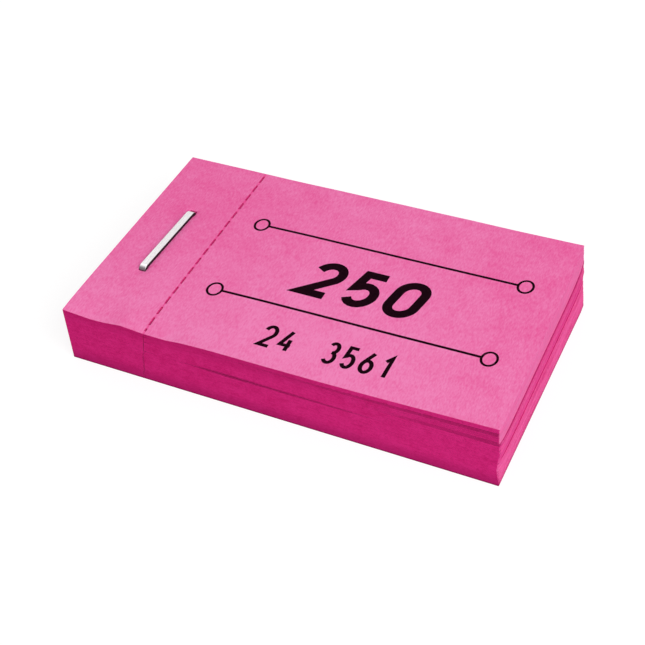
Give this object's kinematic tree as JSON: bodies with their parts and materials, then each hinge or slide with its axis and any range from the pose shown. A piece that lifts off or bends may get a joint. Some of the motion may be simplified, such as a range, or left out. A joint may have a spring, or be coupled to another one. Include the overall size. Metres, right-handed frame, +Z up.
{
  "type": "voucher pad",
  "caption": "Small stapled pad of tear-off paper vouchers: thin sheets with a perforated fold line between a stapled stub and the vouchers, lying flat on its back.",
  "frame": {"origin": "bottom face, under the middle of the pad", "axes": "+X along the sheets from the stapled stub to the free end, +Y across them, +Z up through the stack"},
  "size_m": [0.06, 0.035, 0.0099],
  "materials": {
    "pink_paper": "matte uncoated",
    "staple_wire": "bright galvanised wire"
  },
  "bodies": {
    "pad": {"staple": "staple_wire", "base_sheets_01": "pink_paper", "base_sheets_02": "pink_paper", "base_sheets_03": "pink_paper", "base_sheets_04": "pink_paper", "base_sheets_05": "pink_paper", "base_sheets_06": "pink_paper", "base_sheets_07": "pink_paper", "base_sheets_08": "pink_paper", "base_sheets_09": "pink_paper", "base_sheets_10": "pink_paper", "base_sheets_11": "pink_paper", "base_sheets_12": "pink_paper", "lower_stubs_01": "pink_paper", "lower_stubs_02": "pink_paper", "lower_stubs_03": "pink_paper", "lower_stubs_04": "pink_paper", "middle_stubs_01": "pink_paper", "middle_stubs_02": "pink_paper", "middle_stubs_03": "pink_paper", "upper_stubs_01": "pink_paper", "upper_stubs_02": "pink_paper", "second_stub": "pink_paper", "top_stub": "pink_paper"},
    "lower_flap": {"lower_vouchers_01": "pink_paper", "lower_vouchers_02": "pink_paper", "lower_vouchers_03": "pink_paper", "lower_vouchers_04": "pink_paper", "lower_vouchers_05": "pink_paper", "lower_vouchers_06": "pink_paper", "lower_vouchers_07": "pink_paper", "lower_vouchers_08": "pink_paper", "lower_vouchers_09": "pink_paper", "lower_vouchers_10": "pink_paper"},
    "middle_flap": {"middle_voucher_01": "pink_paper", "middle_voucher_02": "pink_paper", "middle_voucher_03": "pink_paper", "middle_voucher_04": "pink_paper", "middle_voucher_05": "pink_paper", "middle_voucher_06": "pink_paper", "middle_voucher_07": "pink_paper", "middle_voucher_08": "pink_paper", "middle_voucher_09": "pink_paper", "middle_voucher_10": "pink_paper", "middle_voucher_11": "pink_paper", "middle_voucher_12": "pink_paper"},
    "upper_flap": {"upper_voucher_01": "pink_paper", "upper_voucher_02": "pink_paper", "upper_voucher_03": "pink_paper", "upper_voucher_04": "pink_paper", "upper_voucher_05": "pink_paper", "upper_voucher_06": "pink_paper"},
    "second_leaf": {"second_voucher": "pink_paper"},
    "top_leaf": {"top_voucher": "pink_paper"}
  },
  "joints": [
    {"name": "lower_flap_fold", "type": "hinge", "parent": "pad", "child": "lower_flap", "pos_m": [-0.0178, 0, 0.0088], "axis": [0, -1, 0], "range_deg": [0, 12]},
    {"name": "middle_flap_fold", "type": "hinge", "parent": "lower_flap", "child": "middle_flap", "pos_m": [-0.0178, 0, 0.0088], "axis": [0, -1, 0], "range_deg": [0, 15]},
    {"name": "upper_flap_fold", "type": "hinge", "parent": "middle_flap", "child": "upper_flap", "pos_m": [-0.0178, 0, 0.0088], "axis": [0, -1, 0], "range_deg": [0, 18]},
    {"name": "second_voucher_fold", "type": "hinge", "parent": "upper_flap", "child": "second_leaf", "pos_m": [-0.0178, 0, 0.0088], "axis": [0, -1, 0], "range_deg": [0, 25]},
    {"name": "top_voucher_fold", "type": "hinge", "parent": "second_leaf", "child": "top_leaf", "pos_m": [-0.0178, 0, 0.0088], "axis": [0, -1, 0], "range_deg": [0, 95]}
  ]
}
